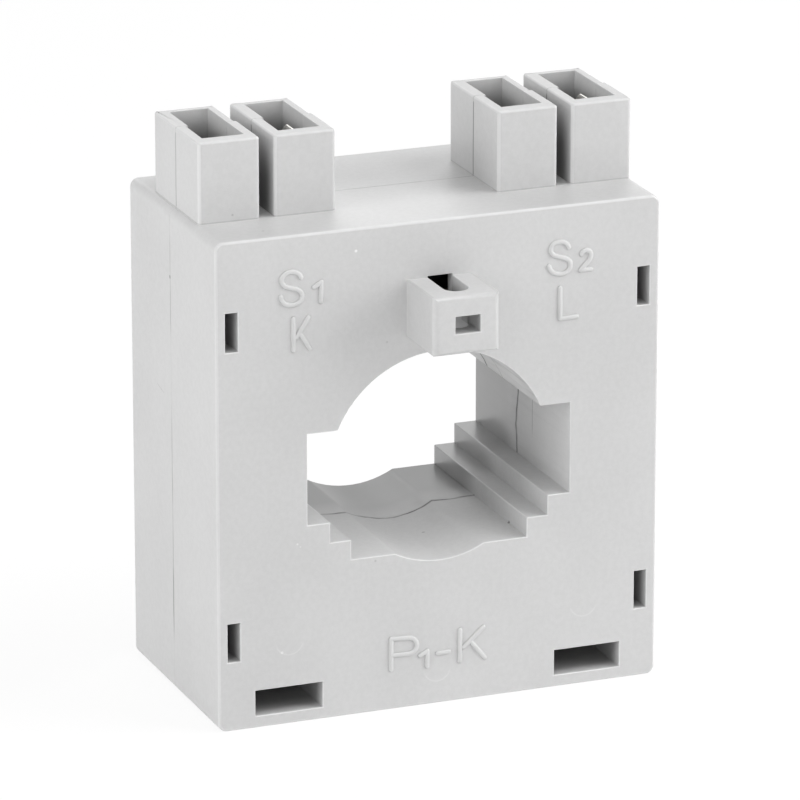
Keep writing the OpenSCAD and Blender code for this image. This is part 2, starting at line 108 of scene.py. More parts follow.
class Finish:
    def __init__(self, name, owner=None):
        self.material = owner or bpy.data.materials.new(name)
        self.material.use_nodes = True
        self.tree = self.material.node_tree
        self.tree.nodes.clear()

    def node(self, kind, settings, values, output=0):
        new = self.tree.nodes.new(kind)
        for key, value in settings.items():
            setattr(new, key, value)
        for key, value in values.items():
            self.feed(new.inputs[key], value)
        return Wire(self, new.outputs[output])

    def feed(self, socket, value):
        if isinstance(value, Wire):
            self.tree.links.new(value.socket, socket)
        elif isinstance(value, tuple) and len(value) == 3 and socket.type == "RGBA":
            socket.default_value = (*value, 1.0)
        else:
            socket.default_value = value

    def place(self):
        return self.node("ShaderNodeTexCoord", {}, {}, "Object")

    def split(self, vector):
        return [self.node("ShaderNodeSeparateXYZ", {}, {"Vector": vector}, axis) for axis in "XYZ"]

    def noise(self, vector, scale, detail=2.0, roughness=0.5):
        values = {"Vector": vector, "Scale": scale, "Detail": detail, "Roughness": roughness}
        return self.node("ShaderNodeTexNoise", {}, values, "Fac")

    def stretched(self, vector, scale):
        return self.node("ShaderNodeMapping", {}, {"Vector": vector, "Scale": scale}, "Vector")

    # Inputs 0, 6 and 7 of a colour Mix are its factor and its colours, and output 2 is its result
    def blend(self, factor, first, second):
        settings = {"data_type": "RGBA"}
        return self.node("ShaderNodeMix", settings, {0: factor, 6: first, 7: second}, 2)

    def bump(self, height, distance, strength=1.0, normal=None):
        values = {"Height": height, "Distance": distance, "Strength": strength}
        if normal is not None:
            values["Normal"] = normal
        return self.node("ShaderNodeBump", {}, values, "Normal")

    # The distance of the place from a centre given in mm
    def distance(self, place, centre):
        values = {0: place, 1: tuple(value * mm for value in centre)}
        return self.node("ShaderNodeVectorMath", {"operation": "DISTANCE"}, values, "Value")

    # 1 at the centre, given in mm, fading to 0 at the radius in mm
    def spot(self, place, centre, radius):
        return self.distance(place, centre).step(radius * mm, 0.5 * radius * mm)

    # 1 in the box, fading to 0 over soft outside it. The box gives low and high along axes by
    # name, all in mm
    def inside(self, axes, box, soft):
        mask = 1.0
        for name, (low, high) in box.items():
            rise = axes[name].over((low - soft, low))
            fall = axes[name].over((high + soft, high))
            mask = rise * fall * mask
        return mask

    # 1 for what the camera, a reflection or a see-through surface looks at, else 0
    def seenRay(self):
        kinds = ("Is Camera Ray", "Is Glossy Ray", "Is Transmission Ray")
        camera, glossy, through = (self.node("ShaderNodeLightPath", {}, {}, kind) for kind in kinds)
        return camera.highest(glossy).highest(through)

    def output(self, kind, shader):
        out = self.tree.nodes.new(kind)
        self.tree.links.new(shader.socket, out.inputs["Surface"])
        return self.material

    def close(self, **values):
        named = {key.replace("_", " "): value for key, value in values.items()}
        shader = self.node("ShaderNodeBsdfPrincipled", {}, named, "BSDF")
        return self.output("ShaderNodeOutputMaterial", shader)


# The case: places of its faces, widths of its rounded edges and margins for finding them
shell = {
    "frontY": -20 * mm,
    "backY": 20 * mm,
    "seamY": 0.9 * mm,
    "sleeveSeamY": 2 * mm,
    "sideX": 37.5 * mm,
    "topZ": 80.7 * mm,
    "bossTopZ": 71.4 * mm,
    "bossRightX": 5 * mm,
    "windowX": 23 * mm,
    "windowZ": (24 * mm, 60 * mm),
    "stepX": (10 * mm, 22.5 * mm),
    "stepTopZ": 48 * mm,
    "pairShift": 0.3 * mm,
    "pairX": 25.2 * mm,
    "shroudFromPair": 6.325 * mm,
    "shroudX": (-31.225 * mm, -18.575 * mm, 19.175 * mm, 31.825 * mm),
    "shroudY": 0.65 * mm,
    "shroudHalf": (5.125 * mm, 10.15 * mm),
    "footX": 25.625 * mm,
    "latchX": 34.85 * mm,
    "latchMiddleZ": 40.35 * mm,
    "outerEdge": 0.4 * mm,
    "rimOuterEdge": 0.35 * mm,
    "rimInnerEdge": 0.16 * mm,
    "openingEdge": 0.16 * mm,
    "stepEdge": 0.18 * mm,
    "seamEdge": 0.07 * mm,
    "edgeSegments": 3,
    "sameMargin": 0.02 * mm,
    "alongMargin": 0.01 * mm,
    "faceMargin": 0.3 * mm,
    "outlineMargin": 0.5 * mm,
    "shroudMargin": 0.65 * mm,
}
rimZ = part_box("front_shell")[1].z
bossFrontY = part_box("front_shell")[0].y

caseFinish = {
    "grey": (0.565, 0.565, 0.565),
    "lighter": (0.615, 0.615, 0.615),
    # The raised marks, lighter as a painted highlight
    "markHighlight": (0.62, 0.62, 0.62),
    # Light colour of the chips, and of the painted highlights on edges and ejector rings
    "chipAndHighlight": (0.85, 0.85, 0.85),
    # Painted light on the front of the window's arch and walls
    "arch": (0.78, 0.78, 0.78),
    # The rear half of the window's sleeve, darker as painted shade
    "polishedAndShaded": (0.27, 0.27, 0.27),
    # Dark colour of the seams, specks and streaks, and of the painted shade lines
    "dirtAndShade": (0.12, 0.12, 0.12),
    # The colour of the painted shade in hollows, on the boss's sides and on the rims
    "hollow": (0.21, 0.21, 0.21),
    "roughness": 0.42,
    "frontSleeveRoughness": 0.5,
    "rearSleeveRoughness": 0.3,
    "coatRoughness": 0.3,
    "flowScale": 45,
    "speckleScale": 1100,
    "grainScale": 2600,
    "grainBump": 0.012 * mm,
    "waveScale": 60,
    "waveBump": 0.2 * mm,
    "streakScale": (800, 60, 800),
    # How much of the light colour the rounded edges take as a painted highlight
    "edgeHighlightShare": 0.75,
    "archLightShare": 0.8,
    "wallLightShare": 0.35,
    "rearShadeShare": 0.85,
    "floorRearShadeShare": 0.15,
    "coat": 0.7,
    "floorCoatLess": 0.55,
    "seamRoughness": 0.3,
    "grainRoughness": 0.06,
}
# Boxes in the case's own space, in mm, and how far each fades outside it
caseAreas = {
    "window": ({"side": (0, 22.5), "z": (22.1, 59.9)}, 0.1),
    "sleeveDepth": ({"y": (-19.7, 19.8)}, 0.1),
    "boss": ({"side": (0, 6.4), "z": (60.1, 75)}, 0.1),
    "roof": ({"z": (80.6, 80.9)}, 0.1),
    "tightSeam": ({"z": (49, 59)}, 3),
    "scratch": ({"x": (-38, -37), "y": (4.8, 7.3)}, 0.6),
}
# Where one finish gives way to another, in mm: along z, the side or y for the window, and
# outward from the front face for the marks
caseSpans = {
    "behind": (-1, 6.5),
    "arch": (47.85, 47.95),
    "wall": (22.2, 22.3),
    "floor": (26.4, 26.25),
    "upperWall": (37, 39),
    "archFront": (-13, -18.5),
    "markFoot": (0.02, 0.08),
    "markTop": (0.5, 0.45),
    # The outline at the marks' foot is painted shade
    "outlineFoot": (0.004, 0.02),
    "outlineTop": (0.2, 0.1),
}
# Where painted shade darkens a hollow or an outline: its box, the axes along which the shade sets
# in, with the places where it starts and is full, and its share of the shade colour. All in mm
hollowShadeAreas = {
    "latchSlots": ({"side": (33.7, 36), "fromLatchMiddle": (22.3, 28.9)},
                   [("y", 19.8, 19.7), ("y", -20, -16.5)], 0.64),
    "footSockets": ({"side": (19.9, 31.4), "z": (1.9, 6.3)}, [("y", -20, -16.5)], 0.64),
    "shroudGaps": ({"fromPair": (0, 1.3), "z": (80.75, 93.8)},
                   [("z", 93.5, 85.5), ("y", -9.5, -5)], 1.0),
    "shroudBores": ({"fromShroud": (0, 4), "y": (-8, 10.2), "z": (80.6, 93.85)},
                    [("z", 92.8, 88)], 0.95),
    "shroudRims": ({}, [("z", 93.85, 93.93)], 0.1),
    "nutWindow": ({"side": (0, 2.4), "y": (-31, -24), "z": (65.2, 68.2)}, [], 0.45),
    "screwHole": ({"side": (0, 2.3), "y": (-27, -19.9), "z": (68.3, 71.5)},
                  [("z", 71.3, 68)], 0.75),
    "bossLeft": ({"x": (-5.8, -5.2), "y": (-30.6, -20.3)}, [("z", 60, 60.1)], 0.15),
    "bossRight": ({"x": (5, 5.8), "y": (-32, -20.3)}, [("z", 60, 60.1)], 0.12),
}
hollowSoft = 0.05
# The seam's line, in mm, and how much of it is missing where it shows less
seamLine = {
    "reach": 0.3,
    "wander": 0.25,
    "wanderScale": 160,
    "brokenScale": 70,
    "broken": (0.25, 0.6),
    "aboveRoof": (80.9, 81),
    "outOfBore": (4.2, 4.3),
    "rim": (92.8, 93.2),
    "leftFace": (-34, -35),
    "leftFoot": (7, 14),
    "leftUpper": (24, 31),
    "missingOnRim": 0.8,
    "missingOnRoof": 0.6,
    "missingInBore": 0.8,
    "missingOnLeftUpper": 0.42,
    "missingWhereTight": 0.9,
}
# The other lines, in mm
caseLines = {
    "sleeveSeamReach": 0.42,
    "sleeveSeamWander": 3.2,
    "sleeveSeamScale": 120,
    "sleeveBrokenScale": 300,
    "ledgeY": -4.4,
    "ledgeReach": 0.13,
    "shroudFootZ": 80.82,
    "shroudFootReach": 0.14,
    "scratchZ": 48.33,
    "scratchSlope": 0.2,
    "scratchReach": 0.13,
    "ringRadius": 2.3,
    "ringReach": 0.2,
    "ringRise": 1.6,
}
# The share of the dark colour in each line or streak, and towards the front of the arch, where the
# marks' outline and the shrouds' foot are painted shade; or of the light colour in an ejector
# mark's ring, a painted highlight
lineShares = {
    "seam": 0.9,
    "sleeveSeam": 0.9,
    "ledge": 0.8,
    "shroudFootShade": 0.3,
    "outlineShade": 0.25,
    "scratch": 0.3,
    "wallStreak": 0.06,
    "archStreak": 0.3,
    "archFront": 0.2,
    "ring": 0.2,
}
# Specks and chips: place in mm, radius in mm and strength
caseSpecks = [
    ((14.95, -12.6, 26.3), 0.36, 1.0),
    ((2.32, -7.2, 24.47), 0.35, 0.4),
    ((-10.92, -20.0, 25.44), 0.25, 0.25),
    ((-8.94, -20.0, 61.56), 0.25, 0.2),
    ((-28.09, -16.08, 80.7), 0.3, 0.25),
    ((-37.5, 1.02, 69.49), 0.4, 0.6),
    ((-36.0, -4.6, 81.0), 0.3, 0.4),
    ((-30.73, -9.5, 81.78), 0.25, 0.3),
]
caseChips = [
    ((-14.12, -20.0, 77.02), 0.3, 0.9),
    ((-26.8, -20.0, 12.1), 0.3, 0.5),
    ((-24.1, -20.0, 29.9), 0.22, 0.5),
    ((-23.6, -20.0, 29.4), 0.18, 0.35),
]
# Centres of the ejector marks, in mm
ejectorMarks = [(-25.5, -20.0, 13.9), (-0.35, -20.0, 6.07), (24.9, -20.0, 13.8)]


# The three coordinates, and distances from the middles of what comes in twos and fours
def caseAxes(finish, place):
    x, y, z = finish.split(place)
    fromPair = abs(abs(x - shell["pairShift"]) - shell["pairX"])
    return {
        "x": x,
        "y": y,
        "z": z,
        "side": abs(x),
        "fromPair": fromPair,
        "fromShroud": abs(fromPair - shell["shroudFromPair"]),
        "fromLatchMiddle": abs(z - shell["latchMiddleZ"]),
    }


# The case's own colour, with painted shade where a hollow keeps light out, on the boss's sides and
# on the shrouds' rims
def caseColour(finish, place, axes):
    flow = finish.noise(place, caseFinish["flowScale"], 2.0)
    speckle = finish.noise(place, caseFinish["speckleScale"], 2.0, 0.7)
    mottle = 0.5 * flow.step(0.3, 0.7) + 0.5 * speckle.step(0.3, 0.7)
    colour = finish.blend(mottle, caseFinish["grey"], caseFinish["lighter"])
    hollow = 0.0
    for box, onsets, share in hollowShadeAreas.values():
        mask = finish.inside(axes, box, hollowSoft)
        for name, start, full in onsets:
            mask = axes[name].over((start, full)) * mask
        hollow = mask * share + hollow
    return finish.blend(hollow, colour, caseFinish["hollow"])


# How far the seam's line shows: whole on the shrouds, broken elsewhere, weak on the roof, the
# rims and in the bores, and in stretches on the left face
def seamStrength(finish, place, axes):
    z = axes["z"]
    wander = (finish.noise(place, seamLine["wanderScale"], 2.0) - 0.5) * (seamLine["wander"] * mm)
    seam = (axes["y"] + wander).near(shell["seamY"], seamLine["reach"] * mm)
    broken = finish.noise(place, seamLine["brokenScale"], 3.0).step(*seamLine["broken"])
    aboveRoof = z.over(seamLine["aboveRoof"])
    outOfBore = axes["fromShroud"].over(seamLine["outOfBore"])
    seam = seam * broken.highest(aboveRoof * outOfBore)
    seam = seam * (1 - seamLine["missingOnRim"] * z.over(seamLine["rim"]))
    seam = seam * (1 - seamLine["missingOnRoof"] * finish.inside(axes, *caseAreas["roof"]))
    seam = seam * (1 - seamLine["missingInBore"] * aboveRoof * (1 - outOfBore))
    tight = finish.inside(axes, *caseAreas["tightSeam"])
    shown = 1 - seamLine["missingOnLeftUpper"] * z.over(seamLine["leftUpper"])
    shown = shown * (1 - seamLine["missingWhereTight"] * tight)
    shown = shown * z.over(seamLine["leftFoot"])
    return seam * (1 - axes["x"].over(seamLine["leftFace"]) * (1 - shown))


# Painted highlights on the lower halves of the ejector marks' rings, and the chips' own light
# colour
def chipsAndRingHighlights(finish, place, z):
    light = 0.0
    for centre, radius, strength in caseChips:
        light = finish.spot(place, centre, radius) * strength + light
    for centre in ejectorMarks:
        ring = finish.distance(place, centre).near(caseLines["ringRadius"] * mm,
                                                   caseLines["ringReach"] * mm)
        lower = (centre[2] * mm - z).over((0.0, caseLines["ringRise"]))
        light = ring * lower * lineShares["ring"] + light
    return light


def makeCasePlastic():
    finish = Finish("casePlastic")
    place = finish.place()
    axes = caseAxes(finish, place)
    y, z, side = (axes[name] for name in ("y", "z", "side"))
    grain = finish.noise(place, caseFinish["grainScale"], 3.0, 0.6)
    colour = caseColour(finish, place, axes)

    # The sleeve of the window: its rear half is polished and painted darker as shade, and its front
    # arch and walls get painted light
    inWindow = finish.inside(axes, *caseAreas["window"])
    inSleeve = inWindow * finish.inside(axes, *caseAreas["sleeveDepth"])
    behind = (y - shell["sleeveSeamY"]).over(caseSpans["behind"])
    polishedAndShaded = inSleeve * behind
    arch = inSleeve * z.over(caseSpans["arch"])
    wall = inSleeve * side.over(caseSpans["wall"])
    floor = inSleeve * z.over(caseSpans["floor"])
    share = caseFinish["rearShadeShare"] + caseFinish["floorRearShadeShare"] * floor
    colour = finish.blend(polishedAndShaded * share, colour, caseFinish["polishedAndShaded"])
    # Painted light on the arch and walls in front of the sleeve's joint
    paintedLight = (arch * caseFinish["archLightShare"] + wall * caseFinish["wallLightShare"]) * (1 - behind)
    colour = finish.blend(paintedLight, colour, caseFinish["arch"])

    # The raised marks, painted lighter as a highlight, with a faint outline of painted shade, and
    # the rounded edges with a painted highlight
    raised = shell["frontY"] - y
    offBoss = 1 - finish.inside(axes, *caseAreas["boss"])
    onMark = raised.over(caseSpans["markFoot"]) * raised.over(caseSpans["markTop"]) * offBoss
    colour = finish.blend(onMark, colour, caseFinish["markHighlight"])
    # Painted shade round the marks' foot
    outlineShade = raised.over(caseSpans["outlineFoot"]) * raised.over(caseSpans["outlineTop"]) * offBoss
    # Painted highlight on the rounded edges and the shrouds' corners
    edge = finish.node("ShaderNodeAttribute", {"attribute_name": "edge"}, {}, "Fac")
    colour = finish.blend(edge * caseFinish["edgeHighlightShare"], colour, caseFinish["chipAndHighlight"])

    # Dark lines, streaks and specks; the marks' outline and the line at the shrouds' foot are
    # painted shade
    seam = seamStrength(finish, place, axes) * (1 - inWindow)
    shift = finish.noise(place, caseLines["sleeveSeamScale"], 3.0) - 0.5
    shift = shift * (caseLines["sleeveSeamWander"] * mm)
    inner = (y + shift).near(shell["sleeveSeamY"], caseLines["sleeveSeamReach"] * mm)
    inner = inner * (wall + floor + arch)
    broken = finish.noise(place, caseLines["sleeveBrokenScale"], 2.0).step(0.35, 0.6)
    inner = inner * (0.5 + 0.5 * broken)
    ledge = y.near(caseLines["ledgeY"] * mm, caseLines["ledgeReach"] * mm)
    ledge = ledge * (wall * z.over(caseSpans["upperWall"]) + arch)
    # Painted shade in the crease at the shrouds' foot
    footShade = z.near(caseLines["shroudFootZ"] * mm, caseLines["shroudFootReach"] * mm) * (1 - inWindow)
    scratch = z - caseLines["scratchSlope"] * y
    scratch = scratch.near(caseLines["scratchZ"] * mm, caseLines["scratchReach"] * mm)
    scratch = scratch * finish.inside(axes, *caseAreas["scratch"])
    streak = finish.noise(finish.stretched(place, caseFinish["streakScale"]), 1.0, 3.0)
    streak = streak.step(0.45, 0.75)
    dark = 0.0
    for name, line in (("seam", seam), ("sleeveSeam", inner), ("ledge", ledge),
                       ("shroudFootShade", footShade), ("outlineShade", outlineShade), ("scratch", scratch),
                       ("wallStreak", streak * wall), ("archStreak", streak * arch),
                       ("archFront", arch * y.over(caseSpans["archFront"]))):
        dark = line * lineShares[name] + dark
    for centre, radius, strength in caseSpecks:
        dark = dark + finish.spot(place, centre, radius) * strength
    colour = finish.blend(dark, colour, caseFinish["dirtAndShade"])
    # Chips, and painted highlights on the ejector marks' rings
    colour = finish.blend(chipsAndRingHighlights(finish, place, z), colour, caseFinish["chipAndHighlight"])

    sleeve = caseFinish["frontSleeveRoughness"] * (1 - behind)
    sleeve = sleeve + caseFinish["rearSleeveRoughness"] * behind
    sleeve = sleeve + caseFinish["seamRoughness"] * inner
    roughness = caseFinish["roughness"] * (1 - inSleeve) + sleeve * inSleeve
    roughness = roughness + caseFinish["grainRoughness"] * (grain - 0.5)
    coat = caseFinish["coat"] - caseFinish["floorCoatLess"] * floor
    coat = polishedAndShaded * coat * (1 - inner)
    fine = finish.bump(grain, caseFinish["grainBump"], 0.5)
    wave = finish.noise(place, caseFinish["waveScale"], 2.0)
    normal = finish.bump(wave, caseFinish["waveBump"], 0.3, fine)
    return finish.close(Base_Color=colour, Roughness=roughness, Normal=normal,
                        Coat_Weight=coat, Coat_Roughness=caseFinish["coatRoughness"])


tinFinish = {
    "dark": (0.62, 0.61, 0.58),
    "light": (0.76, 0.75, 0.72),
    "cloudScale": 300,
    "drawnScale": (4000, 4000, 150),
    "drawnBump": 0.01 * mm,
    "roughness": 0.34,
    "roughnessSpread": 0.18,
}


def makeTinnedBrass():
    finish = Finish("tinnedBrass")
    place = finish.place()
    drawn = finish.noise(finish.stretched(place, tinFinish["drawnScale"]), 1.0, 2.0)
    cloud = finish.noise(place, tinFinish["cloudScale"], 3.0)
    colour = finish.blend(cloud, tinFinish["dark"], tinFinish["light"])
    roughness = tinFinish["roughness"] + tinFinish["roughnessSpread"] * drawn
    normal = finish.bump(drawn, tinFinish["drawnBump"], 0.4)
    return finish.close(Base_Color=colour, Metallic=1.0, Roughness=roughness, Normal=normal)


steelFinish = {
    "dark": (0.17, 0.175, 0.19),
    "light": (0.3, 0.31, 0.33),
    "gap": (0.05, 0.05, 0.055),
    "halfTape": 0.15 * mm,
    "cloudScale": 220,
    "gapBump": 0.03 * mm,
    "metallic": 0.85,
    "roughness": 0.4,
    "roughnessSpread": 0.2,
}


# Turns of thin tape round the core's middle, with a dark gap between them
def makeTapeSteel():
    finish = Finish("tapeSteel")
    place = finish.place()
    x, _, z = finish.split(place)
    centre = (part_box("core")[0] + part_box("core")[1]) / 2
    across = x - centre.x
    up = z - centre.z
    radius = (across * across + up * up).root()
    halfTape = steelFinish["halfTape"]
    layer = finish.node("ShaderNodeMath", {"operation": "PINGPONG"}, {0: radius, 1: halfTape})
    onTape = (layer / halfTape).step(0.1, 0.45)
    cloud = finish.noise(place, steelFinish["cloudScale"], 3.0)
    steel = finish.blend(cloud, steelFinish["dark"], steelFinish["light"])
    colour = finish.blend(onTape, steelFinish["gap"], steel)
    roughness = steelFinish["roughness"] + steelFinish["roughnessSpread"] * cloud
    normal = finish.bump(onTape, steelFinish["gapBump"], 0.6)
    return finish.close(Base_Color=colour, Metallic=steelFinish["metallic"],
                        Roughness=roughness, Normal=normal)


# Finishes of one kind: two colours in clouds, with a grain in the roughness and the bump. A noise
# is given as scale, detail and roughness, and the roughness as its least and its spread
plainFinishes = {
    "cup_plastic": {
        "name": "cupPlastic",
        "dark": (0.004, 0.004, 0.0045),
        "light": (0.007, 0.007, 0.0075),
        "cloud": (120, 3.0, 0.5),
        "grain": (2500, 2.0, 0.5),
        "roughness": (0.38, 0.08),
        "bump": (0.015 * mm, 0.5),
        "metallic": 0.0,
        "coat": 0.0,
    },
    "enamelled_copper": {
        "name": "enamelledCopper",
        "dark": (0.42, 0.13, 0.045),
        "light": (0.56, 0.2, 0.075),
        "cloud": (180, 3.0, 0.5),
        "grain": (180, 3.0, 0.5),
        "roughness": (0.25, 0.12),
        "bump": (0.02 * mm, 0.3),
        "metallic": 0.9,
        "coat": 0.6,
    },
    "sleeve_plastic": {
        "name": "sleevePlastic",
        "dark": (0.008, 0.008, 0.009),
        "light": (0.018, 0.018, 0.02),
        "cloud": (1800, 2.0, 0.5),
        "grain": (1800, 2.0, 0.5),
        "roughness": (0.5, 0.15),
        "bump": (0.02 * mm, 0.5),
        "metallic": 0.0,
        "coat": 0.0,
    },
    "solder": {
        "name": "solder",
        "dark": (0.36, 0.36, 0.37),
        "light": (0.6, 0.6, 0.61),
        "cloud": (900, 4.0, 0.6),
        "grain": (900, 4.0, 0.6),
        "roughness": (0.3, 0.3),
        "bump": (0.05 * mm, 0.5),
        "metallic": 1.0,
        "coat": 0.0,
    },
}


def makePlain(look):
    finish = Finish(look["name"])
    place = finish.place()
    cloud = finish.noise(place, *look["cloud"])
    grain = finish.noise(place, *look["grain"])
    colour = finish.blend(cloud, look["dark"], look["light"])
    least, spread = look["roughness"]
    return finish.close(Base_Color=colour, Metallic=look["metallic"],
                        Roughness=least + spread * grain, Coat_Weight=look["coat"],
                        Normal=finish.bump(grain, *look["bump"]))


finishes = {
    "case_plastic": makeCasePlastic(),
    "tinned_brass": makeTinnedBrass(),
    "core_steel": makeTapeSteel(),
}
for slotName, look in plainFinishes.items():
    finishes[slotName] = makePlain(look)
for part in frame["record"]["subparts"]:
    node = nodes[part["node"]]
    node.data.materials.clear()
    node.data.materials.append(finishes[part["material_slot"]])
print("finishes made:", len(finishes))

# Angles in degrees, the merging distance, and the pull of a large face on the shading
meshing = {
    "merge": 0.002 * mm,
    "flat": 0.4,
    "bevelAbove": 25,
    "smoothBelow": 32,
    "faceWeight": 98,
}


def alone(piece):
    bpy.ops.object.select_all(action="DESELECT")
    piece.select_set(True)
    bpy.context.view_layer.objects.active = piece


# A copy of a CAD node's mesh, merged and with its flat faces made whole. The cuts, marked as
# seams, run through the openings, so that no face is left with a hole in it
def copyNode(nodeName, name, cuts):
    piece = bpy.data.objects.new(name, nodes[nodeName].data.copy())
    bpy.context.scene.collection.objects.link(piece)
    alone(piece)
    bpy.ops.object.mode_set(mode="EDIT")
    bpy.ops.mesh.select_all(action="SELECT")
    bpy.ops.mesh.remove_doubles(threshold=meshing["merge"])
    for normal, places in cuts:
        for place in places:
            bpy.ops.mesh.select_all(action="SELECT")
            bpy.ops.mesh.bisect(plane_co=[place * n for n in normal], plane_no=normal)
            bpy.ops.mesh.mark_seam(clear=False)
    bpy.ops.mesh.select_all(action="SELECT")
    flat = math.radians(meshing["flat"])
    bpy.ops.mesh.dissolve_limited(angle_limit=flat, delimit={"SEAM"})
    bpy.ops.object.mode_set(mode="OBJECT")
    return piece


# Smooth shading, but for the edges that are steeper than the angle in degrees
def shadeByAngle(piece, angle):
    alone(piece)
    bpy.ops.object.shade_smooth()
    bpy.ops.object.mode_set(mode="EDIT")
    bpy.ops.mesh.select_mode(type="EDGE")
    bpy.ops.mesh.select_all(action="DESELECT")
    bpy.ops.mesh.edges_select_sharp(sharpness=math.radians(angle))
    bpy.ops.mesh.mark_sharp()
    bpy.ops.mesh.select_mode(type="VERT")
    bpy.ops.object.mode_set(mode="OBJECT")


def onCaseOutline(point):
    margin = shell["outlineMargin"]
    return (abs(point.x) > shell["sideX"] - margin or point.z < margin
            or abs(point.z - shell["topZ"]) < margin)


def onShroudOutline(point):
    margin = shell["shroudMargin"]
    fromMiddle = min(abs(point.x - x) for x in shell["shroudX"])
    return (fromMiddle > shell["shroudHalf"][0] - margin
            or abs(point.y - shell["shroudY"]) > shell["shroudHalf"][1] - margin)


# On the rounded upright edge at the front left of a shroud
def onShroudCorner(point):
    margin = shell["outlineMargin"]
    fromMiddle = min((point.x - x for x in shell["shroudX"]), key=abs)
    return (shell["topZ"] + margin < point.z < rimZ and fromMiddle < margin - shell["shroudHalf"][0]
            and point.y < shell["shroudY"] - shell["shroudHalf"][1] + margin)


def inWindowOpening(point):
    low, high = shell["windowZ"]
    return abs(point.x) < shell["windowX"] and low < point.z < high


# How strong the painted highlight is on each kind of rounded edge
edgeHighlight = {
    "opening": 0.6,
    "right": 0.12,
    "window": 0.2,
    "rim": 0.3,
    "other": 0.4,
    "shroudCorner": 0.5,
}


def edgeKind(point):
    fromFront = point.y - shell["frontY"]
    if abs(fromFront) < shell["faceMargin"] and not onCaseOutline(point):
        return "opening"
    onBoss = fromFront < -shell["faceMargin"]
    if point.x > (shell["bossRightX"] if onBoss else shell["sideX"] - shell["outlineMargin"]):
        return "right"
    if inWindowOpening(point):
        return "window"
    return "rim" if point.z > rimZ - shell["outlineMargin"] else "other"


# Gives each face an attribute that says how strong its painted highlight is. The highlight goes on
# the rounded edges, which the bevel gave the second material, away from the joint, and on the
# shrouds' corners
def markEdgeHighlights(piece):
    layer = piece.data.attributes.new("edge", "FLOAT", "FACE")
    for face, item in zip(piece.data.polygons, layer.data):
        centre = face.center
        fromJoint = min(abs(centre.y - shell["seamY"]), abs(centre.y - shell["sleeveSeamY"]))
        if face.material_index and fromJoint > shell["faceMargin"]:
            item.value = edgeHighlight[edgeKind(centre)]
        elif onShroudCorner(centre):
            item.value = edgeHighlight["shroudCorner"]
        face.material_index = 0


# Rounds the edges for which widthOf gives a width, then evens out the shading
def roundEdges(piece, widthOf, segments):
    mesh = bmesh.new()
    mesh.from_mesh(piece.data)
    layers = mesh.edges.layers.float
    layer = layers.get("bevel_weight_edge") or layers.new("bevel_weight_edge")
    widths = {}
    steep = math.radians(meshing["bevelAbove"])
    for edge in mesh.edges:
        if len(edge.link_faces) == 2 and edge.calc_face_angle_signed() > steep:
            widths[edge] = widthOf(edge.verts[0].co, edge.verts[1].co)
    widest = max(widths.values())
    for edge, width in widths.items():
        edge[layer] = width / widest
    mesh.to_mesh(piece.data)
    mesh.free()
    piece.data.materials.clear()
    for material in (None, None):
        piece.data.materials.append(material)
    alone(piece)
    bevel = piece.modifiers.new("edges", "BEVEL")
    bevel.material = 1
    bevel.limit_method = "WEIGHT"
    bevel.width = widest
    bevel.segments = segments
    bevel.use_clamp_overlap = False
    bpy.ops.object.modifier_apply(modifier="edges")
    shadeByAngle(piece, meshing["smoothBelow"])
    normals = piece.modifiers.new("shading", "WEIGHTED_NORMAL")
    normals.keep_sharp = True
    normals.weight = meshing["faceWeight"]
    bpy.ops.object.modifier_apply(modifier="shading")
    markEdgeHighlights(piece)


def finishPiece(piece, slotName, *replaced):
    piece.data.materials.clear()
    piece.data.materials.append(finishes[slotName])
    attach(piece, "root")
    if replaced:
        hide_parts(*replaced)
    print("piece", piece.name, len(piece.data.polygons), "faces")


# The width of the rounding on the edge from a to b of a shell
def shellEdgeWidth(a, b):
    def both(axis, value):
        return all(abs(end[axis] - value) < shell["sameMargin"] for end in (a, b))

    middle = (a + b) / 2
    if both(1, shell["frontY"]) or both(1, shell["backY"]):
        return shell["outerEdge"] if onCaseOutline(middle) else shell["openingEdge"]
    if both(2, rimZ):
        return shell["rimOuterEdge"] if onShroudOutline(middle) else shell["rimInnerEdge"]
    if both(1, bossFrontY):
        return shell["openingEdge"]
    if both(2, shell["bossTopZ"]) and middle.y < shell["frontY"]:
        return shell["openingEdge"]
    if both(1, shell["sleeveSeamY"]) and inWindowOpening(middle):
        return shell["seamEdge"]
    if both(1, shell["seamY"]):
        outside = onCaseOutline(middle) or middle.z > shell["topZ"]
        return shell["seamEdge"] if outside else 0.0
    alongY = max(abs(a.x - b.x), abs(a.z - b.z)) < shell["alongMargin"]
    if inWindowOpening(middle) and alongY and middle.y > shell["frontY"]:
        inner, outer = shell["stepX"]
        onStep = inner < abs(middle.x) < outer and middle.z < shell["stepTopZ"]
        return shell["stepEdge"] if onStep else 0.0
    return 0.0


openingX = [*shell["shroudX"], 0.0]
openingX += [side * x for x in (shell["footX"], shell["latchX"]) for side in (-1, 1)]
shellCuts = [((1, 0, 0), openingX)]
for nodeName, pieceName in (("front_shell", "frontShell"), ("rear_shell", "rearShell")):
    half = copyNode(nodeName, pieceName, shellCuts)
    roundEdges(half, shellEdgeWidth, shell["edgeSegments"])
    finishPiece(half, "case_plastic", nodeName)

tabs = {
    "edge": 0.08 * mm,
    "edgeSegments": 2,
}
tabCuts = [((0, 1, 0), [shell["seamY"]])]
for side in ("s1", "s2"):
    tab = copyNode("terminal_" + side, "bladeTabs" + side.upper(), tabCuts)
    roundEdges(tab, lambda a, b: tabs["edge"], tabs["edgeSegments"])
    finishPiece(tab, "tinned_brass", "terminal_" + side)

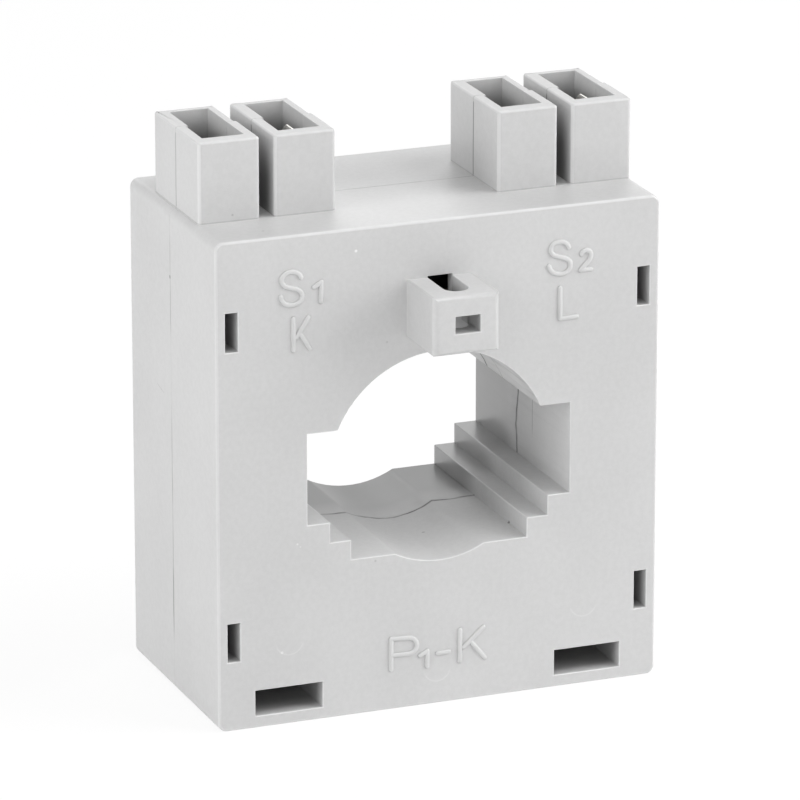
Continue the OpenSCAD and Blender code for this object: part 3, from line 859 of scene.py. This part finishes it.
# Raised marks of the connections: strokes on the front face, in mm as (x, z)
marks = {
    "stroke": 0.86 * mm,
    "height": 0.3 * mm,
    "sink": 0.02 * mm,
    "curveSteps": 4,
    "roundness": 3,
    "endAngles": (25, 50, 70, 85),
    "smoothBelow": 50,
}
markStrokes = {
    "markS1": [
        ("curved", [(-23.33, 73.74), (-23.61, 74.28), (-24.24, 74.67), (-24.95, 74.83),
                    (-25.81, 74.64), (-26.45, 74.02), (-26.48, 73.25), (-25.98, 72.58),
                    (-25.04, 72.21), (-24.09, 71.94), (-23.39, 71.4), (-23.14, 70.72),
                    (-23.44, 69.93), (-24.23, 69.48), (-25.21, 69.44), (-26.03, 69.73),
                    (-26.53, 70.33), (-26.72, 70.89)]),
        ("straight", [(-21.14, 71.92), (-19.95, 72.64)]),
        ("straight", [(-19.95, 72.64), (-20.02, 69.47)]),
        ("straight", [(-24.61, 67.09), (-24.62, 62.01)]),
        ("straight", [(-22.09, 67.12), (-24.1, 64.09)]),
        ("straight", [(-23.42, 64.48), (-21.93, 62.02)]),
    ],
    "markS2": [
        ("curved", [(21.87, 73.73), (21.55, 74.31), (20.89, 74.71), (20.06, 74.79),
                    (19.28, 74.56), (18.84, 74.0), (18.82, 73.32), (19.3, 72.69),
                    (20.19, 72.34), (21.09, 72.07), (21.84, 71.63), (22.17, 70.99),
                    (22.0, 70.17), (21.33, 69.6), (20.37, 69.47), (19.4, 69.74),
                    (18.72, 70.39), (18.48, 70.96)]),
        ("curved", [(24.07, 72.32), (24.32, 72.75), (24.89, 72.92), (25.49, 72.66),
                    (25.67, 72.07), (25.43, 71.31), (24.76, 70.59), (23.92, 69.72)]),
        ("straight", [(23.92, 69.72), (25.68, 69.73)]),
        ("straight", [(20.42, 67.13), (20.46, 62.09)]),
        ("straight", [(20.5, 62.1), (23.29, 62.15)]),
    ],
    "markP1K": [
        ("straight", [(-8.29, 11.95), (-8.29, 6.8)]),
        ("straight", [(-8.29, 11.95), (-5.24, 11.79)]),
        ("curved", [(-5.24, 11.79), (-4.36, 11.43), (-3.89, 10.45), (-4.26, 9.49), (-5.23, 9.07)]),
        ("straight", [(-5.23, 9.07), (-8.29, 9.16)]),
        ("straight", [(-3.31, 8.49), (-2.11, 9.09)]),
        ("straight", [(-2.11, 9.09), (-2.08, 6.56)]),
        ("straight", [(-0.32, 8.48), (1.59, 8.53)]),
        ("straight", [(3.51, 11.94), (3.52, 6.66)]),
        ("straight", [(7.54, 11.93), (4.17, 8.94)]),
        ("straight", [(5.38, 9.74), (7.81, 6.7)]),
    ],
}


# A smooth run through the points, with so many steps from each to the next
def smoothRun(points, steps):
    run = []
    last = len(points) - 1
    for i in range(last):
        corners = (points[max(i - 1, 0)], points[i], points[i + 1], points[min(i + 2, last)])
        for s in range(steps):
            t = s / steps
            place = []
            for a, b, c, d in zip(*corners):
                bend = (2 * a - 5 * b + 4 * c - d) * t * t
                place.append(0.5 * (2 * b + (c - a) * t + bend + (3 * b - a - 3 * c + d) * t ** 3))
            run.append(tuple(place))
    run.append(points[-1])
    return run


# One stroke with round ends, laid as a rod on the front face
def addStroke(data, kind, points):
    run = smoothRun(points, marks["curveSteps"]) if kind == "curved" else points
    places = [Vector((x * mm, z * mm)) for x, z in run]
    ends = []
    for tip, inner in ((places[0], places[1]), (places[-1], places[-2])):
        out = (tip - inner).normalized() * data.bevel_depth
        angles = [math.radians(angle) for angle in marks["endAngles"]]
        ends.append([(tip + out * math.sin(t), math.cos(t)) for t in angles])
    rods = list(reversed(ends[0])) + [(place, 1.0) for place in places] + ends[1]
    spline = data.splines.new("POLY")
    spline.points.add(len(rods) - 1)
    for point, (place, share) in zip(spline.points, rods):
        point.co = (place.x, 0, place.y, 1)
        point.radius = share


# Strokes pressed flat, moved to the front face and cut off just behind it
def makeMark(name, strokes):
    data = bpy.data.curves.new(name, "CURVE")
    data.dimensions = "3D"
    data.bevel_depth = marks["stroke"] / 2
    data.bevel_resolution = marks["roundness"]
    data.use_fill_caps = True
    for kind, points in strokes:
        addStroke(data, kind, points)
    piece = bpy.data.objects.new(name, data)
    bpy.context.scene.collection.objects.link(piece)
    alone(piece)
    bpy.ops.object.convert(target="MESH")
    piece = bpy.context.view_layer.objects.active
    bpy.ops.object.mode_set(mode="EDIT")
    bpy.ops.mesh.select_all(action="SELECT")
    flatten = marks["height"] / (marks["stroke"] / 2)
    bpy.ops.transform.resize(value=(1, flatten, 1), center_override=(0, 0, 0))
    bpy.ops.transform.translate(value=(0, shell["frontY"], 0))
    behind = (0, shell["frontY"] + marks["sink"], 0)
    bpy.ops.mesh.bisect(plane_co=behind, plane_no=(0, 1, 0), clear_outer=True, use_fill=True)
    bpy.ops.mesh.select_all(action="SELECT")
    bpy.ops.mesh.normals_make_consistent(inside=False)
    bpy.ops.object.mode_set(mode="OBJECT")
    shadeByAngle(piece, marks["smoothBelow"])
    finishPiece(piece, "case_plastic")


for name, strokes in markStrokes.items():
    makeMark(name, strokes)

# Floor, backdrop, lamps and camera. Azimuths and elevations are in degrees, as the camera's
studio = {
    "floorGrey": (0.9, 0.9, 0.9),
    "floorSize": 6,
    "shadowShare": 0.15,
    "floorWhite": 1.03,
    "worldLight": 0.08,
    "lampDistance": 1.0,
    "lampSize": 0.7,
}
# Azimuth, elevation and power in watts
lamps = {
    "left": (-88, 12, 4.3),
    "leftUp": (-72, 38, 2.0),
    "frontLeft": (-50, 28, 0.9),
    "frontLow": (-30, 8, 1.3),
    "frontHigh": (-15, 58, 1.2),
    "rightFront": (66, 14, 6.0),
    "rightUp": (62, 48, 4.8),
    "right": (85, 20, 0.5),
    "back": (165, 45, 3.0),
}
view = {
    "azimuth": -21.473,
    "elevation": 17.893,
    "distance": 1.06437,
    "target": (0.001118, 0.0, 0.044807),
    "lens": 297.8,
    "sensor": 36,
    "clipStart": 0.05,
}


# What is seen of the floor is mostly the backdrop's white, and a share of it takes the shadow
def makeFloor():
    bpy.ops.mesh.primitive_plane_add(size=studio["floorSize"], location=(0, 0, 0))
    floor = bpy.context.view_layer.objects.active
    floor.name = "floor"
    finish = Finish("floor")
    seen = finish.seenRay()
    plain = finish.node("ShaderNodeBsdfDiffuse", {}, {"Color": studio["floorGrey"]}, "BSDF")
    white = finish.node("ShaderNodeEmission", {}, {"Strength": studio["floorWhite"]}, "Emission")
    share = seen * (1 - studio["shadowShare"])
    mixed = finish.node("ShaderNodeMixShader", {}, {0: share, 1: plain, 2: white})
    floor.data.materials.append(finish.output("ShaderNodeOutputMaterial", mixed))


def makeWorld():
    world = bpy.data.worlds.new("studio")
    bpy.context.scene.world = world
    sky = Finish("sky", world)
    light, white = (
        sky.node("ShaderNodeBackground", {}, {"Color": (1.0, 1.0, 1.0), "Strength": strength})
        for strength in (studio["worldLight"], 1.0))
    mixed = sky.node("ShaderNodeMixShader", {}, {0: sky.seenRay(), 1: light, 2: white})
    sky.output("ShaderNodeOutputWorld", mixed)


# A unit vector from the object
def bearing(azimuth, elevation):
    a = math.radians(azimuth)
    e = math.radians(elevation)
    return Vector((math.sin(a) * math.cos(e), -math.cos(a) * math.cos(e), math.sin(e)))


# Puts a lamp or the camera at a distance from the target, facing it
def aim(data, azimuth, elevation, distance):
    toward = bearing(azimuth, elevation)
    aimed = bpy.data.objects.new(data.name, data)
    bpy.context.scene.collection.objects.link(aimed)
    aimed.location = Vector(view["target"]) + toward * distance
    aimed.rotation_euler = (-toward).to_track_quat("-Z", "Y").to_euler()
    return aimed


def makeLamp(name, azimuth, elevation, power):
    data = bpy.data.lights.new(name, "AREA")
    data.energy = power
    data.shape = "SQUARE"
    data.size = studio["lampSize"]
    aim(data, azimuth, elevation, studio["lampDistance"])


def makeCamera():
    data = bpy.data.cameras.new("camera")
    data.lens = view["lens"]
    data.sensor_width = view["sensor"]
    data.clip_start = view["clipStart"]
    camera = aim(data, view["azimuth"], view["elevation"], view["distance"])
    bpy.context.scene.camera = camera


makeFloor()
makeWorld()
for name, (azimuth, elevation, power) in lamps.items():
    makeLamp(name, azimuth, elevation, power)
makeCamera()
bpy.context.scene.view_settings.view_transform = "Standard"
print("studio ready")
